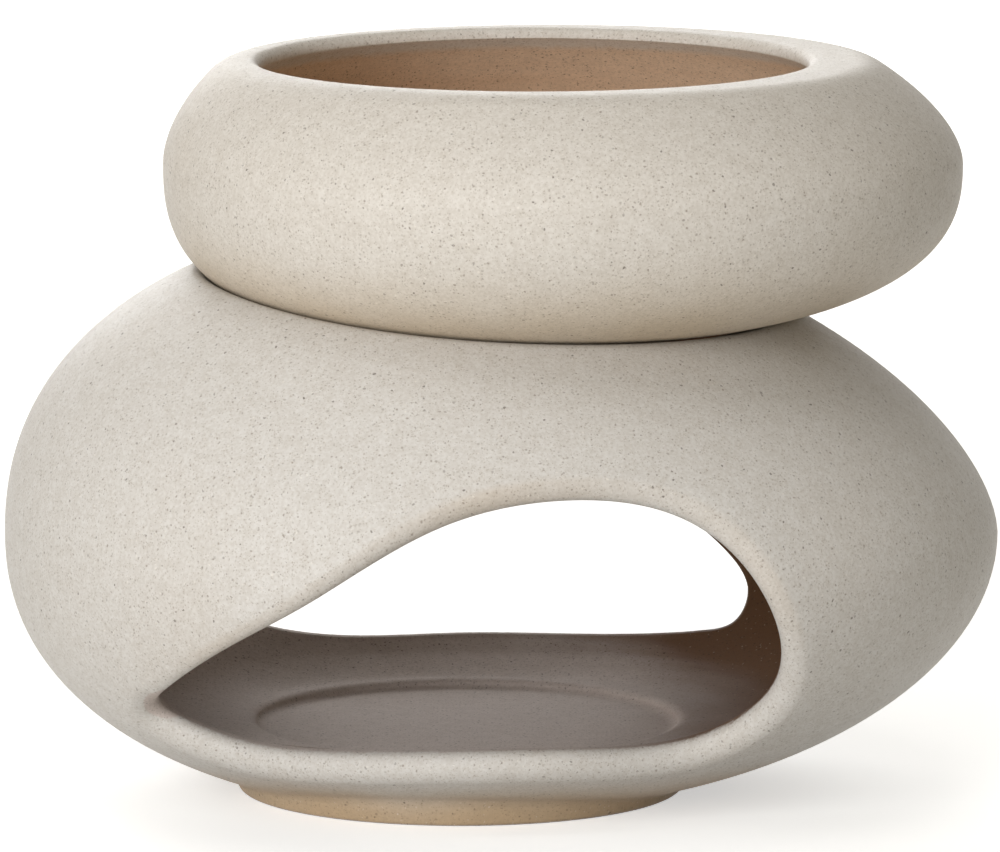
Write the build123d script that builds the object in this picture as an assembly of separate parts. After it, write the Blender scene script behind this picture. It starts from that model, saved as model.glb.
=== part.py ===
"""Oil burner in two pieces of slip-cast stoneware: a hollow pebble with two leaf-shaped windows that
shelters a tea light, and a pebble-shaped oil bowl that nests in the dished top of it.

Millimetres. The origin is the middle of the foot on the table, +Z is up, +X runs along the long side
and the front faces -Y."""
from build123d import *
from dataclasses import dataclass, replace
from math import asin, sin
import os

# Base pebble. Its waist is the widest level, and its reach left and right is taken from the foot's axis.
# Fullness is the exponent of a superellipse, given for the left, right and front-to-back rails:
# 2 is a true ellipse, more is squarer and less is slimmer.
BASE_REACH_LEFT = 74.5
BASE_REACH_RIGHT = 85.5
BASE_DEPTH = 146.0
BASE_WAIST_Z = 42.0
BASE_RISE = 51.0
BASE_DROP = 45.0
BASE_FULLNESS_ABOVE = (2.20, 1.65, 1.70)
BASE_FULLNESS_BELOW = (2.20, 2.00, 1.87)
BASE_WALL = 5.5
BASE_BOTTOM_WALL = 6.0

# Foot ring, hollow below, and the shallow round sunk in the floor where the tea light stands
FOOT_RADIUS = 34.5
FOOT_FLARE = 2.0
FOOT_HEIGHT = 5.0
FOOT_RING_WIDTH = 5.5
FOOT_HOLLOW = 4.0
FOOT_EDGE = 0.8
FLOOR_Z = 11.5
TEA_LIGHT_SINK = 1.5
TEA_LIGHT_RADIUS = 34.0

# Leaf windows. The tip points left on the front; the back one is turned half round and has a blunter tip.
# They are centred on the foot's axis. The outlines are in shares of length and height: tip, slanted upper
# edge, crown, blunt end and sill.
WINDOW_LENGTH = 98.042
WINDOW_HEIGHT = 42.3
WINDOW_SILL_Z = 14.4
WINDOW_OUTER_LIP = 2.8
WINDOW_INNER_LIP = 1.6
FRONT_LEAF = (
    (0.000, 0.156), (0.022, 0.236), (0.239, 0.610), (0.458, 0.910), (0.657, 1.000), (0.861, 0.903),
    (0.979, 0.617), (0.993, 0.310), (0.892, 0.066), (0.657, 0.019), (0.300, 0.000), (0.040, 0.092),
)
BACK_LEAF = (
    (0.028, 0.227), (0.063, 0.355), (0.239, 0.610), (0.458, 0.910), (0.657, 1.000), (0.861, 0.903),
    (0.979, 0.617), (0.993, 0.331), (0.892, 0.092), (0.500, 0.031), (0.112, 0.071), (0.041, 0.161),
)
LEAF_PARTS = 6

# Oil bowl, nearly round in plan and leaning over to the right. It nests this far below the base's crown.
BOWL_LENGTH = 128.4
BOWL_DEPTH = 120.054
BOWL_CENTRE_X = 15.4
BOWL_PEAK_X = 4.3
BOWL_RISE = 33.0
BOWL_DROP = 27.8
BOWL_FULLNESS_ABOVE = (1.75, 1.70, 1.60)
BOWL_FULLNESS_BELOW = (2.70, 2.63, 2.65)
BOWL_NEST = 17.5
BOWL_FLAT_CUT = 1.3
BOWL_WALL = 6.0
BOWL_FLOOR_WALL = 6.0
RIM_RISE = 16.5
RIM_LEFT = 5.7
RIM_RIGHT = 10.2
RIM_FRONT = 6.9
RIM_OUTER_LIP = 8.0
RIM_INNER_LIP = 1.6

# The bowl lies in its seat with this much play, and both edges of the seat are softened
SEAT_CLEARANCE = 0.3
SEAT_EDGE = 0.8

LOFT_STEPS = 7
POLE_TRIM = 0.96
FROM_BELOW = (Align.CENTER, Align.CENTER, Align.MIN)

base_crown_z = BASE_WAIST_Z + BASE_RISE
bowl_flat_z = base_crown_z - BOWL_NEST
bowl_waist_z = bowl_flat_z - BOWL_FLAT_CUT + BOWL_DROP
rim_z = bowl_waist_z + RIM_RISE


def level_ellipse(left, right, half_depth, z):
    """The level ellipse at height z between two ends."""
    return Pos((left + right) / 2, 0, z) * Ellipse((right - left) / 2, half_depth)


@dataclass(frozen=True)
class Pebble:
    """A lopsided pebble whose level sections are ellipses ending on a left, a right and a depth rail."""

    left: float
    right: float
    half_depth: float
    peak_x: float
    waist_z: float
    rise: float
    drop: float
    fullness_above: tuple
    fullness_below: tuple

    def rails(self, z):
        """Left end, right end and half depth at height z, each reach * (1 - s^n)^(1/n) with s the share of
        the rise or drop."""
        above = z >= self.waist_z
        share = abs(z - self.waist_z) / (self.rise if above else self.drop)
        fullness = self.fullness_above if above else self.fullness_below
        left, right, depth = ((1 - share**n) ** (1 / n) for n in fullness)
        x_left = self.peak_x - (self.peak_x - self.left) * left
        x_right = self.peak_x + (self.right - self.peak_x) * right
        return x_left, x_right, self.half_depth * depth

    def solid(self, low, high):
        """Loft from height low to height high, with sections at even angles below and above the waist."""
        low = max(low, self.waist_z - POLE_TRIM * self.drop)
        high = min(high, self.waist_z + POLE_TRIM * self.rise)
        start = asin((low - self.waist_z) / self.drop)
        end = asin((high - self.waist_z) / self.rise)
        steps = [i / LOFT_STEPS for i in range(LOFT_STEPS + 1)]
        below = [self.waist_z + self.drop * sin(start * (1 - t)) for t in steps]
        above = [self.waist_z + self.rise * sin(end * t) for t in steps[1:]]
        return loft([level_ellipse(*self.rails(z), z) for z in below + above])

    def inset(self, wall, bottom_wall):
        """The same pebble drawn in by a wall at the sides and top, and by a bottom wall below."""
        return replace(
            self,
            left=self.left + wall,
            right=self.right - wall,
            half_depth=self.half_depth - wall,
            rise=self.rise - wall,
            drop=self.drop - bottom_wall,
        )


base_form = Pebble(
    left=-BASE_REACH_LEFT,
    right=BASE_REACH_RIGHT,
    half_depth=BASE_DEPTH / 2,
    peak_x=0.0,
    waist_z=BASE_WAIST_Z,
    rise=BASE_RISE,
    drop=BASE_DROP,
    fullness_above=BASE_FULLNESS_ABOVE,
    fullness_below=BASE_FULLNESS_BELOW,
)
bowl_form = Pebble(
    left=BOWL_CENTRE_X - BOWL_LENGTH / 2,
    right=BOWL_CENTRE_X + BOWL_LENGTH / 2,
    half_depth=BOWL_DEPTH / 2,
    peak_x=BOWL_PEAK_X,
    waist_z=bowl_waist_z,
    rise=BOWL_RISE,
    drop=BOWL_DROP,
    fullness_above=BOWL_FULLNESS_ABOVE,
    fullness_below=BOWL_FULLNESS_BELOW,
)


def footed_pebble():
    """The solid pebble on its flared foot, before anything is cut from it."""
    foot = Cone(FOOT_RADIUS, FOOT_RADIUS + FOOT_FLARE, FOOT_HEIGHT, align=FROM_BELOW)
    return base_form.solid(0, base_crown_z) + foot


def leaf_cutter(shares):
    """A leaf pushed out through the front wall. Its outline is one closed spline, parted so that no lip is a
    single long edge."""
    points = [((u - 0.5) * WINDOW_LENGTH, WINDOW_SILL_Z + v * WINDOW_HEIGHT) for u, v in shares]
    outline = Spline(points, periodic=True).edge()
    cuts = [i / LEAF_PARTS for i in range(LEAF_PARTS + 1)]
    leaf = make_face([outline.trim(start, end) for start, end in zip(cuts, cuts[1:])])
    return extrude(Plane.XZ * leaf, BASE_DEPTH)


def carve_windows(body):
    """Cuts both leaves to the middle of the body and rounds the lips that they leave on its skin."""
    front = leaf_cutter(FRONT_LEAF)
    back = leaf_cutter(BACK_LEAF).rotate(Axis.Z, 180)
    carved = body - front - back
    edges = new_edges(body, front, back, combined=carved)
    outer_lips = edges.filter_by(lambda edge: abs(edge.center().Y) > BASE_WALL)
    return carved.fillet(min(WINDOW_OUTER_LIP, 0.6 * BASE_WALL), outer_lips)


def hollow_out(carved):
    """Takes out the chamber above the floor, which opens the windows, and rounds their inner lips."""
    chamber = base_form.inset(BASE_WALL, BASE_BOTTOM_WALL).solid(FLOOR_Z, base_crown_z)
    shell = carved - chamber
    inner_lips = new_edges(carved, chamber, combined=shell)
    return shell.fillet(min(WINDOW_INNER_LIP, 0.3 * BASE_WALL), inner_lips)


def finish_foot(shell):
    """Sinks the round for the tea light, hollows the foot to a ring and softens the ring's edges."""
    tea_light_round = Cylinder(TEA_LIGHT_RADIUS, TEA_LIGHT_SINK, align=FROM_BELOW)
    ring_hollow = Cylinder(FOOT_RADIUS - FOOT_RING_WIDTH, FOOT_HOLLOW, align=FROM_BELOW)
    footed = shell - Pos(0, 0, FLOOR_Z - TEA_LIGHT_SINK) * tea_light_round - ring_hollow
    return footed.fillet(FOOT_EDGE, footed.edges().group_by(Axis.Z)[0])


def dish_seat(shell):
    """Dishes the top to the bowl's underside plus the clearance, which opens the chamber for the heat."""
    underside = bowl_form.inset(-SEAT_CLEARANCE, -SEAT_CLEARANCE)
    seat = underside.solid(bowl_flat_z - SEAT_CLEARANCE, rim_z)
    dished = shell - seat
    return dished.fillet(SEAT_EDGE, new_edges(shell, seat, combined=dished))


def make_burner_base():
    return dish_seat(finish_foot(hollow_out(carve_windows(footed_pebble()))))


def make_oil_bowl():
    """The pebble cut flat below and at the rim, hollowed, opened by the mouth and rounded at the lip."""
    hollow = bowl_form.inset(BOWL_WALL, BOWL_FLOOR_WALL)
    hollow = replace(hollow, right=hollow.right - RIM_RIGHT + RIM_LEFT)
    cavity = hollow.solid(bowl_flat_z + BOWL_FLOOR_WALL, rim_z)
    left, right, half_depth = bowl_form.rails(rim_z)
    opening = level_ellipse(left + RIM_LEFT, right - RIM_RIGHT, half_depth - RIM_FRONT, rim_z)
    bowl = bowl_form.solid(bowl_flat_z, rim_z) - cavity - extrude(opening, -RIM_RISE)
    for radius, place in ((RIM_OUTER_LIP, -1), (RIM_INNER_LIP, 0)):
        rim_edges = bowl.edges().group_by(Axis.Z)[-1].sort_by(SortBy.LENGTH)
        bowl = bowl.fillet(radius, [rim_edges[place]])
    return bowl


os.makedirs("parts", exist_ok=True)
for node, piece in (("burner_base", make_burner_base()), ("oil_bowl", make_oil_bowl())):
    export_step(piece, f"parts/{node}.step")
    print(node, "valid" if piece.is_valid else "not valid", round(piece.volume), "mm3")
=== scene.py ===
"""Speckled stoneware oil burner: a pebble base with two leaf windows and a pebble bowl nested in its top."""
import bmesh
import bpy
import numpy as np
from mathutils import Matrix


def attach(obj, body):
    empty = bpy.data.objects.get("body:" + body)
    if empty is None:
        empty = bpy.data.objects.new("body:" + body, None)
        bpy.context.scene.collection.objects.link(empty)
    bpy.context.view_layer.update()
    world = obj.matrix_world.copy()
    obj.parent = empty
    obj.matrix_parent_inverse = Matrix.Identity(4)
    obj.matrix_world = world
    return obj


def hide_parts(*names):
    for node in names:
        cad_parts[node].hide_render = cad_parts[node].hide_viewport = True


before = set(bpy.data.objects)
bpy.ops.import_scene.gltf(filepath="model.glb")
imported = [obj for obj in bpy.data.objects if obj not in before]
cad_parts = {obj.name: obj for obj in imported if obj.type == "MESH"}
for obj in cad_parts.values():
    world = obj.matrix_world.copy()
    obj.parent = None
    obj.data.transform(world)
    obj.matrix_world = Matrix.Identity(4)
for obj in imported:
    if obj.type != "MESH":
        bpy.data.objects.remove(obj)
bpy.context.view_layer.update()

# Burner base: a hollow pebble, slip-cast in stoneware, with a foot ring, a leaf window front and back and a
# top dished to carry the bowl. The speckled glaze ends inside the window lips. The chamber is bare clay.


class Pebble:
    """A lopsided pebble whose level sections are ellipses. With s the share of the rise or drop from the
    waist, each rail reaches (1 - s^n)^(1/n) of its full length from the peak's axis, n being its fullness."""

    below_pole = 0.999999
    probe = 0.2

    def __init__(self, left, right, half_depth, peak_x, waist_z, rise, drop, above, below):
        self.left, self.right, self.half_depth, self.peak_x = left, right, half_depth, peak_x
        self.waist_z, self.rise, self.drop, self.above, self.below = waist_z, rise, drop, above, below

    def ellipse(self, z):
        """Middle, half-length and half-depth of the section at height z."""
        up = z >= self.waist_z
        share = np.clip(np.abs(z - self.waist_z) / np.where(up, self.rise, self.drop), 0, self.below_pole)
        left, right, depth = (
            (1 - share**n) ** (1 / n) for n in (np.where(up, a, b) for a, b in zip(self.above, self.below))
        )
        x_left = self.peak_x - (self.peak_x - self.left) * left
        x_right = self.peak_x + (self.right - self.peak_x) * right
        return (x_left + x_right) / 2, (x_right - x_left) / 2, self.half_depth * depth

    def point(self, turn, z):
        """The surface point at an angle round the section at height z."""
        middle, length, depth = self.ellipse(z)
        return np.stack(np.broadcast_arrays(middle + length * np.cos(turn), depth * np.sin(turn), z), -1)

    def turn_of(self, p):
        """The angle round its own section at which a point on the surface lies."""
        middle, length, depth = self.ellipse(p[..., 2])
        return np.arctan2(p[..., 1] / depth, (p[..., 0] - middle) / length)

    def outside(self, p):
        """Above 0 outside the surface, below 0 inside it."""
        middle, length, depth = self.ellipse(p[..., 2])
        return ((p[..., 0] - middle) / length) ** 2 + (p[..., 1] / depth) ** 2 - 1

    def drop_along(self, turn, z, distance):
        """The height that lies a distance further down the surface from height z."""
        step = np.linalg.norm(self.point(turn, z) - self.point(turn, z - self.probe), axis=-1)
        return z - distance * self.probe / step

    def inset(self, wall, bottom_wall):
        """The same pebble drawn in by a wall at the sides and top, and by a bottom wall below."""
        return Pebble(
            self.left + wall, self.right - wall, self.half_depth - wall, self.peak_x, self.waist_z,
            self.rise - wall, self.drop - bottom_wall, self.above, self.below,
        )


def level_where(form, turn, low, high, test, halvings=44):
    """The height on a form, between low and high, where a test turns from below 0 to above 0."""
    low, high = np.full_like(turn, low), np.full_like(turn, high)
    for _ in range(halvings):
        middle = (low + high) / 2
        over = test(form.point(turn, middle)) > 0
        low, high = np.where(over, low, middle), np.where(over, middle, high)
    return middle


def closed_spline(points, places):
    """The closed curve through points, cubic between them, with slope and curvature carried through each
    one. Places count the points along it."""
    points = np.asarray(points, float)
    after, before = np.roll(points, -1, 0), np.roll(points, 1, 0)
    span = np.linalg.norm(after - points, axis=1)
    last = np.roll(span, 1)
    bend = np.linalg.solve(
        np.diag(2 * (last + span)) + np.roll(np.diag(span), 1, 1) + np.roll(np.diag(last), -1, 1),
        6 * ((after - points) / span[:, None] - (points - before) / last[:, None]),
    )
    i = np.floor(places).astype(int)
    t = (places - i)[:, None]
    i, j = i % len(points), (i + 1) % len(points)
    s = 1 - t
    curve = s * points[i] + t * points[j]
    return curve + span[i][:, None] ** 2 / 6 * ((s**3 - s) * bend[i] + (t**3 - t) * bend[j])


def rounding(start, corner, end, rows, weight=0.71):
    """The conic from start to end that leaves and arrives in line with a corner, as rows of points."""
    t = np.linspace(0, 1, rows)[:, None]
    a, b, c = (1 - t) ** 2, 2 * weight * t * (1 - t), t**2
    return (a * start[:, None] + b * corner[:, None] + c * end[:, None]) / (a + b + c)


def between(start, end, rows):
    """Straight rows of points from start to end, without the start."""
    t = np.linspace(0, 1, rows + 1)[1:, None]
    return start[:, None] * (1 - t) + end[:, None] * t


def reach_along(path, row):
    """The length along each path in millimetres, counted from one of its rows."""
    length = np.cumsum(np.linalg.norm(np.diff(path, axis=1, prepend=path[:, :1]), axis=-1), axis=1)
    return length - length[:, row : row + 1]


def closed_shell(name, parts, weld_steps=500):
    """One mesh from grids of points in millimetres. Four neighbours on a grid make a face, and points that
    fall on the same weld step become one vertex, so that seams and poles close. Each grid carries its reach
    along the glaze."""
    points = np.concatenate([grid.reshape(-1, 3) for grid, _ in parts])
    reach = np.concatenate([np.broadcast_to(mark, grid.shape[:2]).ravel() for grid, mark in parts])
    quads, start = [], 0
    for grid, _ in parts:
        index = start + np.arange(grid.shape[0] * grid.shape[1]).reshape(grid.shape[:2])
        corners = (index[:-1, :-1], index[1:, :-1], index[1:, 1:], index[:-1, 1:])
        quads.append(np.stack(corners, -1).reshape(-1, 4))
        start += index.size
    steps = np.round(points * weld_steps).astype(int)
    _, first, merged = np.unique(steps, axis=0, return_index=True, return_inverse=True)
    quads = merged.ravel()[np.concatenate(quads)]
    same = quads == np.roll(quads, -1, 1)
    whole = quads[~same.any(1)]
    pinched = quads[same.sum(1) == 1]
    keep = ~same[same.sum(1) == 1]
    mesh = bpy.data.meshes.new(name)
    mesh.from_pydata(points[first] / 1000, [], whole.tolist() + pinched[keep].reshape(-1, 3).tolist())
    marks = mesh.attributes.new("reach", "FLOAT", "POINT")
    marks.data.foreach_set("value", reach[first].astype(np.float32))
    mesh.polygons.foreach_set("use_smooth", np.ones(len(mesh.polygons), bool))
    whole_mesh = bmesh.new()
    whole_mesh.from_mesh(mesh)
    bmesh.ops.recalc_face_normals(whole_mesh, faces=whole_mesh.faces)
    whole_mesh.to_mesh(mesh)
    whole_mesh.free()
    piece = bpy.data.objects.new(name, mesh)
    bpy.context.scene.collection.objects.link(piece)
    return piece


base_wall, base_bottom_wall, seat_clearance = 5.5, 6.0, 0.3
base_skin = Pebble(
    left=-74.5, right=85.5, half_depth=73.0, peak_x=0.0, waist_z=42.0, rise=51.0, drop=45.0,
    above=(2.20, 1.65, 1.70), below=(2.20, 2.00, 1.87),
)
chamber_skin = base_skin.inset(base_wall, base_bottom_wall)
bowl_skin = Pebble(
    left=-48.8, right=79.6, half_depth=60.03, peak_x=4.3, waist_z=102.0, rise=33.0, drop=27.8,
    above=(1.75, 1.70, 1.60), below=(2.70, 2.63, 2.65),
)
seat_skin = bowl_skin.inset(-seat_clearance, -seat_clearance)
foot_x, foot_radius, foot_flare, foot_height = -1.0, 35.8, 1.6, 5.0
foot_ring_inner, foot_hollow, foot_edge = 29.0, 4.0, 0.8
floor_z, tea_light_sink, tea_light_radius = 11.5, 1.5, 34.0
leaf_place, leaf_size = (-49.02, 14.4), (98.04, 42.3)
front_leaf = np.array([
    (0.000, 0.156), (0.022, 0.236), (0.239, 0.610), (0.458, 0.910), (0.657, 1.000), (0.861, 0.903),
    (0.979, 0.617), (0.998, 0.275), (0.902, 0.050), (0.672, -0.003), (0.292, -0.030), (0.057, 0.040),
]) * leaf_size + leaf_place
back_leaf = np.array([
    (0.028, 0.227), (0.063, 0.355), (0.239, 0.610), (0.458, 0.910), (0.657, 1.000), (0.861, 0.903),
    (0.979, 0.617), (0.993, 0.331), (0.886, 0.142), (0.517, 0.049), (0.105, 0.088), (0.046, 0.139),
]) * leaf_size + leaf_place
lip_outer, lip_inner, seat_edge = 2.8, 1.0, 1.5
edge_rows, lip_rows, inner_lip_rows = 6, 9, 7
glazed_reach, seat_reach, bare_reach, floor_reach = -20.0, -40.0, 40.0, 60.0
top_columns, side_columns, bottom_columns = 120, 48, 100
ring_turn = np.concatenate([
    np.linspace(-np.pi, 0, bottom_columns, endpoint=False), np.linspace(0, np.pi, bottom_columns + 1),
])


def seat_level(form, turn):
    """Height at which a skin of the base runs into the seat."""
    lowest, highest = 60.0, 87.4
    return level_where(form, turn, lowest, highest, lambda p: -seat_skin.outside(p))


def foot_level(turn):
    """Height at which the base's skin runs into the flared foot."""
    highest = 20.0

    def past_foot(p):
        away = np.hypot(p[..., 0] - foot_x, p[..., 1])
        return away - foot_radius - foot_flare * p[..., 2] / foot_height

    return level_where(base_skin, turn, 0.0, highest, past_foot)


def floor_level(turn):
    """Height at which the chamber's wall starts to run out into the floor, low at the front and higher at
    the back."""
    corner_rise, corner_tilt = 2.0, 1.5
    return floor_z + corner_rise + corner_tilt * np.sin(turn)


def skin_top(turn):
    """Upper border of the outer skin, one edge width below the seat."""
    return base_skin.drop_along(turn, seat_level(base_skin, turn), seat_edge)


def chamber_top(turn):
    """Upper border of the chamber's wall, one edge width below the seat."""
    return chamber_skin.drop_along(turn, seat_level(chamber_skin, turn), seat_edge)


def skin_bottom(turn):
    """Lower border of the outer skin, just above the foot."""
    crease_rise = 0.5
    return foot_level(turn) + crease_rise


def corner_cut(form, turn, z, away, inward, radius):
    """How far a rounding of a radius reaches from the corner between a skin and a window's cut, which is the
    radius over the tangent of half the angle between them, and its weight."""
    step = form.point(*away) - form.point(turn, z)
    step /= np.linalg.norm(step, axis=1)[:, None]
    half_angle = np.arccos(np.clip((step * inward).sum(1), -1, 1)) / 2
    return radius / np.tan(half_angle), np.sin(half_angle)[:, None, None]


def walled_half(half, leaf_points):
    """Front (half 0) or back (half pi) of the shell as one grid of paths set side by side round the leaf.
    Each runs over the outer skin from its border to the window, round the lip and over the chamber's wall."""
    side = -1 if half == 0 else 1
    leaf_corners = (1.5, 5.0, 8.0, 10.6, 13.5)
    counts = (top_columns, side_columns, bottom_columns, side_columns)
    outer_rows, inner_rows, throat_rows = 30, 26, 2
    trace_steps, nudge, beside_step = 6001, 1e-3, 0.3
    fine = np.linspace(leaf_corners[0], leaf_corners[-1], trace_steps)
    trace = closed_spline(leaf_points, fine)
    run = np.concatenate([[0], np.cumsum(np.linalg.norm(np.diff(trace, axis=0), axis=1))])
    ends = np.interp(leaf_corners, fine, run)
    places = np.concatenate([
        np.linspace(a, b, n, endpoint=False) for a, b, n in zip(ends, ends[1:], counts)
    ] + [ends[-1:]])
    places = np.interp(places, run, fine)
    leaf = closed_spline(leaf_points, places)
    along = closed_spline(leaf_points, places + nudge) - closed_spline(leaf_points, places - nudge)
    outward = np.stack([-along[:, 1], along[:, 0]], 1) / np.linalg.norm(along, axis=1)[:, None]

    def border(top, bottom):
        """Angle and height round the border of this half: along the top, down, back along the bottom, up."""
        over, down, back, up = (np.linspace(0, 1, n, endpoint=False) for n in counts)
        turns = np.concatenate([np.pi * (over - 1), 0 * down, -np.pi * back, 0 * up - np.pi, [-np.pi]])
        turns += half
        high, low = top(turns), bottom(turns)
        share = np.concatenate([0 * over + 1, 1 - down, 0 * back, up, [1.0]])
        return turns, low + (high - low) * share

    def on_skin(form, outline):
        """Angle and height on a form of a point given by its length and height in the front view."""
        x, z = outline[:, 0] * -side, outline[:, 1]
        middle, length, _ = form.ellipse(z)
        return side * np.arccos((x - middle) / length), z

    def skin(form, start, end, rows):
        """Rows on a form, with angle and height running evenly from start to end."""
        t = np.linspace(0, 1, rows)
        turn = start[0][:, None] * (1 - t) + end[0][:, None] * t
        return form.point(turn, start[1][:, None] * (1 - t) + end[1][:, None] * t)

    inward = np.array([0, -side, 0])
    lips = []
    for form, radius, way in ((base_skin, lip_outer, inward), (chamber_skin, lip_inner, -inward)):
        corner = on_skin(form, leaf)
        beside = on_skin(form, leaf + beside_step * outward)
        reach, weight = corner_cut(form, *corner, beside, way, radius)
        spread = np.linalg.norm(form.point(*beside) - form.point(*corner), axis=1) / beside_step
        edge = on_skin(form, leaf + (reach / spread)[:, None] * outward)
        lips.append((edge, form.point(*corner), form.point(*corner) + reach[:, None] * way, weight))
    outer_edge, outer_corner, outer_cut, outer_weight = lips[0]
    inner_edge, inner_corner, inner_cut, inner_weight = lips[1]
    outer = skin(base_skin, border(skin_top, skin_bottom), outer_edge, outer_rows)
    inner = skin(chamber_skin, inner_edge, border(chamber_top, floor_level), inner_rows)
    lip = rounding(outer[:, -1], outer_corner, outer_cut, lip_rows, outer_weight)
    back_lip = rounding(inner_cut, inner_corner, inner[:, 0], inner_lip_rows, inner_weight)
    throat = between(lip[:, -1], back_lip[:, 0], throat_rows)
    path = np.concatenate([outer, lip[:, 1:], throat, back_lip[:, 1:], inner[:, 1:]], axis=1)
    return path, reach_along(path, outer.shape[1] - 1)


def seat_ring():
    """The dished top: over the outer edge, down the seat with angle and height running evenly, and over the
    inner edge."""
    dish_rows = 9
    turn = np.linspace(-np.pi, np.pi, 2 * top_columns + 1)
    high = base_skin.point(turn, seat_level(base_skin, turn))
    low = chamber_skin.point(turn, seat_level(chamber_skin, turn))
    start, end = seat_skin.turn_of(high), seat_skin.turn_of(low)
    end = start + (end - start + np.pi) % (2 * np.pi) - np.pi
    margin = seat_edge / np.linalg.norm(high - low, axis=-1)
    t = margin[:, None] + (1 - 2 * margin[:, None]) * np.linspace(0, 1, dish_rows)
    dish = seat_skin.point(
        start[:, None] * (1 - t) + end[:, None] * t, high[:, 2:] * (1 - t) + low[:, 2:] * t
    )
    outer_edge = rounding(base_skin.point(turn, skin_top(turn)), high, dish[:, 0], edge_rows)
    inner_edge = rounding(dish[:, -1], low, chamber_skin.point(turn, chamber_top(turn)), edge_rows)
    ring = np.concatenate([outer_edge, dish[:, 1:], inner_edge[:, 1:]], axis=1)
    return ring, np.linspace(seat_reach, glazed_reach, ring.shape[1])


def foot_ring():
    """The foot: a soft crease below the skin, the flared side, the ring it stands on and the hollow under
    it. The glaze ends half-way round the ring's outer edge."""
    crease_share, hollow_rows, under_rows = 0.6, 3, 8
    level = foot_level(ring_turn)
    crease = base_skin.point(ring_turn, level)
    heading = np.arctan2(crease[:, 1], crease[:, 0] - foot_x)

    def circle(radius, z):
        x, y = foot_x + radius * np.cos(heading), radius * np.sin(heading)
        return np.stack(np.broadcast_arrays(x, y, z), -1)

    low = foot_edge + crease_share * (level - foot_edge)
    side_low = circle(foot_radius + foot_flare * low / foot_height, low)
    side = rounding(base_skin.point(ring_turn, skin_bottom(ring_turn)), crease, side_low, edge_rows)
    outer_edge = rounding(
        circle(foot_radius + foot_flare * foot_edge / foot_height, foot_edge), circle(foot_radius, 0.0),
        circle(foot_radius - foot_edge, 0.0), edge_rows,
    )
    inner_edge = rounding(
        circle(foot_ring_inner + foot_edge, 0.0), circle(foot_ring_inner, 0.0),
        circle(foot_ring_inner, foot_edge), edge_rows,
    )
    hollow = between(inner_edge[:, -1], circle(foot_ring_inner, foot_hollow), hollow_rows)
    under = between(hollow[:, -1], circle(0.0, foot_hollow), under_rows)
    ring = np.concatenate([side, outer_edge, inner_edge, hollow, under], axis=1)
    glazed = np.arange(ring.shape[1]) < side.shape[1] + edge_rows // 2
    return ring, np.where(glazed, glazed_reach, bare_reach)


def chamber_floor():
    """The floor of the chamber: a soft corner below its wall, and the shallow round where the tea light
    stands, with its rim eased over."""
    rim_width, rim_share, rim_corner, shelf_share = 1.8, 0.6, 0.2, 0.8
    foot_corner, foot_width, corner_rows, flat_rows = 0.4, 2.0, 9, 24
    edge = chamber_skin.point(ring_turn, floor_level(ring_turn))
    corner = chamber_skin.point(ring_turn, np.full_like(ring_turn, floor_z))
    heading = np.arctan2(corner[:, 1], corner[:, 0])

    def circle(radius, z):
        return np.stack(np.broadcast_arrays(radius * np.cos(heading), radius * np.sin(heading), z), -1)

    sunk_z = floor_z - tea_light_sink
    room = np.hypot(corner[:, 0], corner[:, 1]) - tea_light_radius
    rim_start = circle(tea_light_radius + np.minimum(rim_width, rim_share * room), floor_z)
    shelf = corner + (rim_start - corner) * shelf_share
    middle = circle(tea_light_radius, floor_z - tea_light_sink / 2)
    rim = rounding(rim_start, circle(tea_light_radius + rim_corner, floor_z), middle, edge_rows)
    foot = rounding(
        middle, circle(tea_light_radius - foot_corner, sunk_z), circle(tea_light_radius - foot_width, sunk_z),
        edge_rows,
    )
    flat = between(foot[:, -1], circle(0.0, sunk_z), flat_rows)
    corner_rounding = rounding(edge, corner, shelf, corner_rows)
    return np.concatenate([corner_rounding, rim, foot[:, 1:], flat], axis=1), floor_reach


burner_base = closed_shell("burner_base_shell", [
    walled_half(0.0, front_leaf), walled_half(np.pi, back_leaf), seat_ring(), foot_ring(), chamber_floor(),
])
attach(burner_base, "base")
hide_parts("burner_base")


class Shade:
    """A shader socket that can be written in sums. Operators add Math nodes, node() adds any other node."""

    def __init__(self, tree, socket=None):
        self.tree, self.socket = tree, socket

    def node(self, kind, settings, sockets, out=0):
        """Adds a node: its settings first, then the value or link of each socket. Returns one output."""
        made = self.tree.nodes.new("ShaderNode" + kind)
        for key, value in settings.items():
            setattr(made, key, value)
        for key, value in sockets.items():
            if isinstance(value, Shade):
                self.tree.links.new(value.socket, made.inputs[key])
            else:
                made.inputs[key].default_value = value
        return Shade(self.tree, made.outputs[out])

    def math(self, operation, first, second=0.0):
        return self.node("Math", {"operation": operation}, {0: first, 1: second})

    def __add__(self, other):
        return self.math("ADD", self, other)

    def __sub__(self, other):
        return self.math("SUBTRACT", self, other)

    def __rsub__(self, other):
        return self.math("SUBTRACT", other, self)

    def __mul__(self, other):
        return self.math("MULTIPLY", self, other)

    __radd__, __rmul__ = __add__, __mul__

    def ease(self, low, high):
        """0 below low, 1 above high and a smooth change between. With low above high it falls instead."""
        return self.node(
            "MapRange", {"interpolation_type": "SMOOTHSTEP", "clamp": True},
            {"Value": self, "From Min": low, "From Max": high},
        )

    def paint(self, under, over):
        """Colour over, laid on colour under by this mask."""
        return self.node("Mix", {"data_type": "RGBA"}, {0: self, 6: under, 7: over}, 2)


def colour(code):
    """Linear colour of a six-figure web code."""
    share = np.array([int(code[i : i + 2], 16) for i in (0, 2, 4)]) / 255
    return (*np.where(share > 0.04045, ((share + 0.055) / 1.055) ** 2.4, share / 12.92), 1.0)


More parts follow.
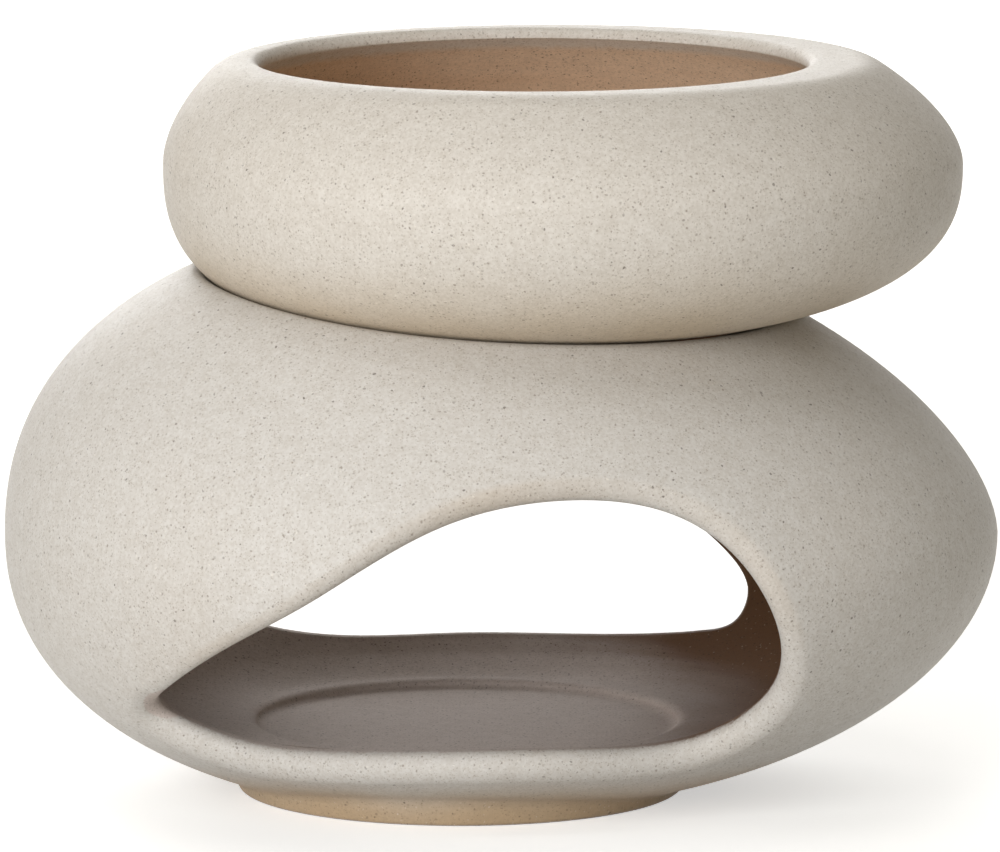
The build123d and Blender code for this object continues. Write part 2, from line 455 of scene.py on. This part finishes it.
def stoneware(name, glaze, tan, tanned_and_shaded, glaze_ends, glaze_fade, thinned, clay, brown, browned_and_shaded):
    """Satin speckled glaze over iron-bearing clay. The glaze ends at a reach along the surface, sooner where
    it is thinned, and fades out. Masks of place say where the glaze turns tan and the bare clay brown; in
    places that tan and brown is painted shade. Specks are dots in a share of the cells of a random pattern,
    bent out of round, in three grades."""
    material = bpy.data.materials.new(name)
    material.use_nodes = True
    tree = material.node_tree
    shader = tree.nodes["Principled BSDF"]
    make = Shade(tree)
    place = make.node("TexCoord", {}, {}, "Object")
    x, y, z = (make.node("SeparateXYZ", {}, {0: place}, axis) for axis in range(3))
    reach = make.node("Attribute", {"attribute_name": "reach"}, {}, "Fac")

    def noise(scale, detail, stretch=(1.0, 1.0, 1.0)):
        """Cloudy values, as far above 0 as below it."""
        at = make.node("Mapping", {}, {"Vector": place, "Scale": stretch})
        return make.node("TexNoise", {}, {"Vector": at, "Scale": scale, "Detail": detail}) - 0.5

    def specks(scale, share, small, large):
        """Dots in a share of the cells, each of its own size between small and large and its own strength."""
        luck_fade, dot_fade, faintest = 0.01, 0.5, 0.35
        cells = make.node("TexVoronoi", {}, {"Vector": bent, "Scale": scale})
        random = Shade(tree, cells.socket.node.outputs["Color"])
        luck, strength = (make.node("SeparateColor", {}, {0: random}, channel) for channel in (0, 1))
        size = luck.ease(1 - share, 1.0) * (large - small) + small
        chosen = luck.ease(1 - share - luck_fade, 1 - share + luck_fade)
        dots = (size - cells).ease(0.0, dot_fade * small) * chosen
        return dots * (strength * (1 - faintest) + faintest)

    swirl_scale, swirl_reach = 1500.0, 0.0005
    swirl = make.node("TexNoise", {}, {"Vector": place, "Scale": swirl_scale, "Detail": 1.0}, "Color")
    bent = make.node(
        "VectorMath", {"operation": "MULTIPLY_ADD"}, {0: swirl, 1: (swirl_reach,) * 3, 2: place},
    )
    cloud = noise(scale=30.0, detail=2.0)
    mottle = noise(scale=420.0, detail=3.0)
    grain = noise(scale=1900.0, detail=3.0)
    rings = noise(scale=60.0, detail=3.0, stretch=(0.25, 0.25, 9.0))
    fine = specks(scale=2500.0, share=0.85, small=0.26, large=0.40)
    medium = specks(scale=1350.0, share=0.72, small=0.19, large=0.31)
    bold = specks(scale=640.0, share=0.55, small=0.11, large=0.17)
    pale = specks(scale=1300.0, share=0.35, small=0.18, large=0.28)
    grain_in_tooth, mottle_in_tooth, tooth_spread = 1.5, 0.7, 0.5
    tooth = (grain * grain_in_tooth + mottle * mottle_in_tooth).ease(-tooth_spread, tooth_spread)

    cloud_in_tan, cloud_in_brown, rings_in_brown = 0.7, 0.5, 0.5
    # the tan mask also carries painted shade, on the underside of the windows' upper lip
    body = (tanned_and_shaded(x, y, z, reach) + cloud * cloud_in_tan).ease(0.0, 1.0).paint(glaze, tan)
    for mask, strength, code in (
        (tooth, 0.28, "93836e"), (pale, 0.30, "efe9df"), (fine, 0.46, "8b7a66"), (medium, 0.52, "6f6050"),
        (bold, 0.70, "4b3f34"),
    ):
        body = (mask * strength).paint(body, colour(code))
    # the brown mask also carries painted shade, on the left of the bowl's inside
    clay_brown_and_shade = browned_and_shaded(x, y, z) + cloud * cloud_in_brown + rings * rings_in_brown
    bare = clay_brown_and_shade.ease(0.0, 1.0).paint(clay, brown)
    for mask, strength, code in (
        (tooth, 0.22, "6e5c4c"), (pale, 0.35, "c4b4a0"), (fine, 0.40, "4d3f34"), (medium, 0.60, "3a2e26"),
    ):
        bare = (mask * strength).paint(bare, colour(code))

    mottle_in_rim, grain_in_rim = 2.0, 1.6
    rim = reach + thinned(x, y, z) + mottle * mottle_in_rim + grain * grain_in_rim
    glazed = rim.ease(glaze_ends + glaze_fade, glaze_ends)
    tree.links.new(glazed.paint(bare, body).socket, shader.inputs["Base Color"])
    bare_roughness, glaze_smooths, mottle_roughens, speck_roughens = 0.78, 0.26, 0.12, 0.12
    rough = bare_roughness - glazed * glaze_smooths + mottle * mottle_roughens
    rough = rough + bold * glazed * speck_roughens
    tree.links.new(rough.socket, shader.inputs["Roughness"])
    shader.inputs["Specular IOR Level"].default_value = 0.16
    grain_height, mottle_height, bold_pit, medium_pit = 0.6, 0.5, 0.4, 0.25
    relief = grain * grain_height + mottle * mottle_height - bold * bold_pit - medium * medium_pit
    bump = make.node("Bump", {}, {"Height": relief, "Strength": 0.14, "Distance": 0.0005})
    tree.links.new(bump.socket, shader.inputs["Normal"])
    return material


def base_tan_and_shade(x, y, z, reach):
    """Tan on the foot and just above it, and faintly along the upper lip of the windows. On the upper lip
    the tan is partly the glaze thinning over the edge and partly painted shade on the lip's underside.
    """
    foot_strength, lip_tan_and_shade_strength = 0.95, 0.25
    foot = z.ease(0.0115, 0.0005) * foot_strength
    # painted shade: the underside of the windows' upper lip is darkened with tan, on top of the thinner glaze
    # there
    upper_lip_thin_glaze_and_shade = reach.ease(-0.6, 1.2) * reach.ease(6.0, 3.5) * z.ease(0.024, 0.040)
    return foot + upper_lip_thin_glaze_and_shade * lip_tan_and_shade_strength


def base_thinned(x, y, z):
    """How many millimetres sooner the glaze ends at the front window's tip, by the square of the distance
    from it."""
    tip_x, tip_z, sooner = -0.0482, 0.0205, 6.0
    along, up = x - tip_x, z - tip_z
    return (along * along + up * up).ease(0.000020, 0.000002) * y.ease(0.0, -0.01) * sooner


def base_brown(x, y, z):
    """Brown up the chamber's wall and towards its right side, grey on the floor and to the left."""
    wall_strength, right_strength = 0.42, 0.9
    wall = z.ease(0.0115, 0.0180) * x.ease(-0.050, -0.010)
    return wall * wall_strength + x.ease(0.010, 0.055) * right_strength


burner_base.data.materials.append(stoneware(
    "base_speckled_stoneware", glaze=colour("d4d1cd"), tan=colour("b9a285"), tanned_and_shaded=base_tan_and_shade, glaze_ends=6.0,
    glaze_fade=1.6, thinned=base_thinned, clay=colour("d0c5bf"), brown=colour("6d4e36"), browned_and_shaded=base_brown,
))

# Oil bowl: a second, flatter pebble cast in the same stoneware, cut open at the top and rounded at the lip.
# It lies loose in the seat. The glaze goes over the lip and stops just inside it, and the inside is brown.
rim_z, rim_left, rim_right, rim_front, rim_outer, rim_inner = 118.5, 5.7, 10.2, 6.9, 8.0, 1.6
bowl_flat_z, bowl_floor_z, bowl_thickness, flat_edge, under_edge = 75.5, 81.5, 6.0, 0.5, 1.2
cavity_skin = bowl_skin.inset(bowl_thickness, bowl_thickness)
cavity_skin.right -= rim_right - rim_left


def bowl_wall():
    """The bowl as one grid of angle by profile: under the flat, up the skin, over the lip, down the mouth,
    under its edge, down the cavity's wall and over the floor."""
    columns, flat_rows, flat_edge_rows, skin_rows, cavity_rows, floor_rows = 301, 10, 4, 64, 44, 16
    flat_margin, throat_share, highest_under = 0.02, 0.4, 128.0
    turn = np.linspace(-np.pi, np.pi, columns)
    rim_middle, rim_length, rim_depth = bowl_skin.ellipse(np.array(rim_z))
    mouth_middle = rim_middle + (rim_left - rim_right) / 2
    mouth_length, mouth_depth = rim_length - (rim_left + rim_right) / 2, rim_depth - rim_front

    def mouth(angle, z):
        """The mouth's straight wall, an ellipse at every height."""
        x, y = mouth_middle + mouth_length * np.cos(angle), mouth_depth * np.sin(angle)
        return np.stack(np.broadcast_arrays(x, y, z), -1)

    def in_mouth(p):
        """Above 0 inside the mouth's wall."""
        x, y = (p[..., 0] - mouth_middle) / mouth_length, p[..., 1] / mouth_depth
        return 1 - x**2 - y**2

    def levels(form, low, high, rows):
        """Heights from low to high at even angles below and above the waist."""
        start, end = (
            np.arcsin((z - form.waist_z) / np.where(z > form.waist_z, form.rise, form.drop))
            for z in (low, high)
        )
        angle = start[:, None] + (end - start)[:, None] * np.linspace(0, 1, rows)
        return form.waist_z + np.where(angle > 0, form.rise, form.drop) * np.sin(angle)

    even = np.ones_like(turn)
    flat_corner = bowl_skin.point(turn, bowl_flat_z * even)
    pole = np.array([flat_corner[:, 0].mean(), 0.0, 0.0])
    flat_start = flat_corner + (pole - flat_corner) * (1, 1, 0) * flat_margin
    below_rim = bowl_skin.point(turn, (rim_z - bowl_skin.probe) * even)
    outer_corner = bowl_skin.point(turn, rim_z * even)
    rim_slope = np.arcsin(bowl_skin.probe / np.linalg.norm(outer_corner - below_rim, axis=1))
    rim_reach = rim_outer * np.tan(rim_slope / 2)
    skin_high = bowl_skin.drop_along(turn, rim_z * even, rim_reach)
    skin_levels = levels(bowl_skin, (bowl_flat_z + flat_edge) * even, skin_high, skin_rows)
    skin = bowl_skin.point(turn[:, None], skin_levels)
    under_level = level_where(cavity_skin, turn, cavity_skin.waist_z, highest_under, in_mouth)
    under = cavity_skin.point(turn, under_level)
    angle = np.arctan2(under[:, 1] / mouth_depth, (under[:, 0] - mouth_middle) / mouth_length)
    inner_corner = mouth(angle, rim_z)
    across = inner_corner - outer_corner
    across = across / np.linalg.norm(across, axis=1)[:, None]
    outer_lip = rounding(
        skin[:, -1], outer_corner, outer_corner + rim_reach[:, None] * across, lip_rows,
        np.cos(rim_slope / 2)[:, None, None],
    )
    inner_lip = rounding(
        inner_corner - rim_inner * across, inner_corner, mouth(angle, rim_z - rim_inner), lip_rows,
    )
    throat_end = mouth(angle, under_level + throat_share * (rim_z - rim_inner - under_level))
    cavity_high = cavity_skin.drop_along(turn, under_level, under_edge)
    cavity_levels = levels(cavity_skin, cavity_high, bowl_floor_z * even, cavity_rows)
    cavity = cavity_skin.point(turn[:, None], cavity_levels)
    under_lip = rounding(throat_end, under, cavity[:, 0], edge_rows)
    flat_pole = flat_corner * (0, 0, 1) + pole
    floor_pole = np.array([cavity[:, -1, 0].mean(), 0.0, 0.0])
    floor_end = cavity[:, -1] * (0, 0, 1) + floor_pole
    below_lip = np.concatenate([
        flat_pole[:, None], between(flat_pole, flat_start, flat_rows),
        rounding(flat_start, flat_corner, skin[:, 0], flat_edge_rows)[:, 1:], skin[:, 1:], outer_lip[:, 1:],
    ], axis=1)
    path = np.concatenate([
        below_lip, inner_lip, under_lip, cavity[:, 1:], between(cavity[:, -1], floor_end, floor_rows),
    ], axis=1)
    return path, reach_along(path, below_lip.shape[1])


oil_bowl = closed_shell("oil_bowl_shell", [bowl_wall()])


def bowl_tan(x, y, z, reach):
    """Tan on the lower part of the bowl, none above 100 mm and full below 78 mm."""
    strength = 0.7
    return z.ease(0.100, 0.078) * strength


def bowl_thinned(x, y, z):
    """The bowl's glaze ends at the same reach all round."""
    return 0.0


def bowl_brown_and_shade(x, y, z):
    """Brown in the deep of the bowl, and painted shade as brown towards its left side, which leaves it paler
    towards its right side.
    """
    deep_strength, left_shade_strength = 0.5, 0.25
    # painted shade: the bowl's inside turns browner towards the left, where it faces away from the key lamp
    return z.ease(0.120, 0.105) * deep_strength + x.ease(0.05, -0.03) * left_shade_strength


oil_bowl.data.materials.append(stoneware(
    "bowl_speckled_stoneware", glaze=colour("d6d1ca"), tan=colour("c6b59c"), tanned_and_shaded=bowl_tan, glaze_ends=4.6,
    glaze_fade=3.0, thinned=bowl_thinned, clay=colour("e6d2bc"), brown=colour("d8bb9f"), browned_and_shaded=bowl_brown_and_shade,
))
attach(oil_bowl, "bowl")
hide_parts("oil_bowl")

# Table and light: a plain white table that runs off to white, a large soft key lamp on the left, a low card
# in front, softer lamps above and behind, and a dim warm surround. The camera stands far off, a little above
# the bowl's rim.
table_half = 4.0
table_mesh = bpy.data.meshes.new("table")
table_corners = [(x * table_half, y * table_half, 0) for x, y in ((-1, -1), (1, -1), (1, 1), (-1, 1))]
table_mesh.from_pydata(table_corners, [], [(0, 1, 2, 3)])
table = bpy.data.objects.new("table", table_mesh)
bpy.context.scene.collection.objects.link(table)


def seen_directly(tree):
    """1 for rays that show a thing to the camera, in a mirror or through glass, 0 for rays that light."""
    camera_ray = Shade(tree).node("LightPath", {}, {}, "Is Camera Ray")
    rays = camera_ray.socket.node.outputs
    others = Shade(tree, rays["Is Glossy Ray"]) + Shade(tree, rays["Is Transmission Ray"])
    return (camera_ray + others).ease(0.0, 1.0)


table_paint = bpy.data.materials.new("white_table")
table_paint.use_nodes = True
tree = table_paint.node_tree
sheen = tree.nodes["Principled BSDF"]
sheen.inputs["Base Color"].default_value = (0.80, 0.80, 0.79, 1.0)
sheen.inputs["Roughness"].default_value = 0.9
white, glow_strength = (1.0, 1.0, 1.0, 1.0), 0.52
make = Shade(tree)
glow = make.node("Emission", {}, {"Color": white, "Strength": seen_directly(tree) * glow_strength})
both = make.node("AddShader", {}, {0: Shade(tree, sheen.outputs[0]), 1: glow})
tree.links.new(both.socket, tree.nodes["Material Output"].inputs["Surface"])
table_mesh.materials.append(table_paint)

world = bpy.data.worlds.new("pale_surround")
bpy.context.scene.world = world
world.use_nodes = True
tree = world.node_tree
warm_white, surround_strength = (1.0, 0.90, 0.70, 1.0), 0.22
seen = seen_directly(tree)
surround = tree.nodes["Background"]
tree.links.new(seen.paint(warm_white, white).socket, surround.inputs["Color"])
tree.links.new((seen * (1 - surround_strength) + surround_strength).socket, surround.inputs["Strength"])

lamp_aim = (0.0, 0.0, 0.06)
for name, place, size, power in (
    ("key_lamp", (-0.84, -1.60, 0.54), 1.0, 22.0),
    ("front_card", (-0.3, -1.8, 0.12), 0.8, 5.0),
    ("top_lamp", (-0.1, -0.4, 1.5), 1.0, 5.0),
    ("rear_lamp", (-0.3, 1.5, 0.75), 1.2, 14.0),
):
    lamp = bpy.data.lights.new(name, "AREA")
    lamp.shape, lamp.size, lamp.energy = "DISK", size, power
    holder = bpy.data.objects.new(name, lamp)
    holder.location = place
    away = holder.location - type(holder.location)(lamp_aim)
    holder.rotation_euler = away.to_track_quat("Z", "Y").to_euler()
    bpy.context.scene.collection.objects.link(holder)

camera_tilt = 81.14
camera = bpy.data.cameras.new("camera")
camera.lens, camera.sensor_width = 448.6, 36.0
camera.clip_start, camera.clip_end = 0.1, 50.0
stand = bpy.data.objects.new("camera", camera)
stand.location = (0.0053, -1.9829, 0.3680)
stand.rotation_euler = (np.radians(camera_tilt), 0.0, 0.0)
bpy.context.scene.collection.objects.link(stand)
bpy.context.scene.camera = stand
bpy.context.scene.view_settings.view_transform = "Standard"
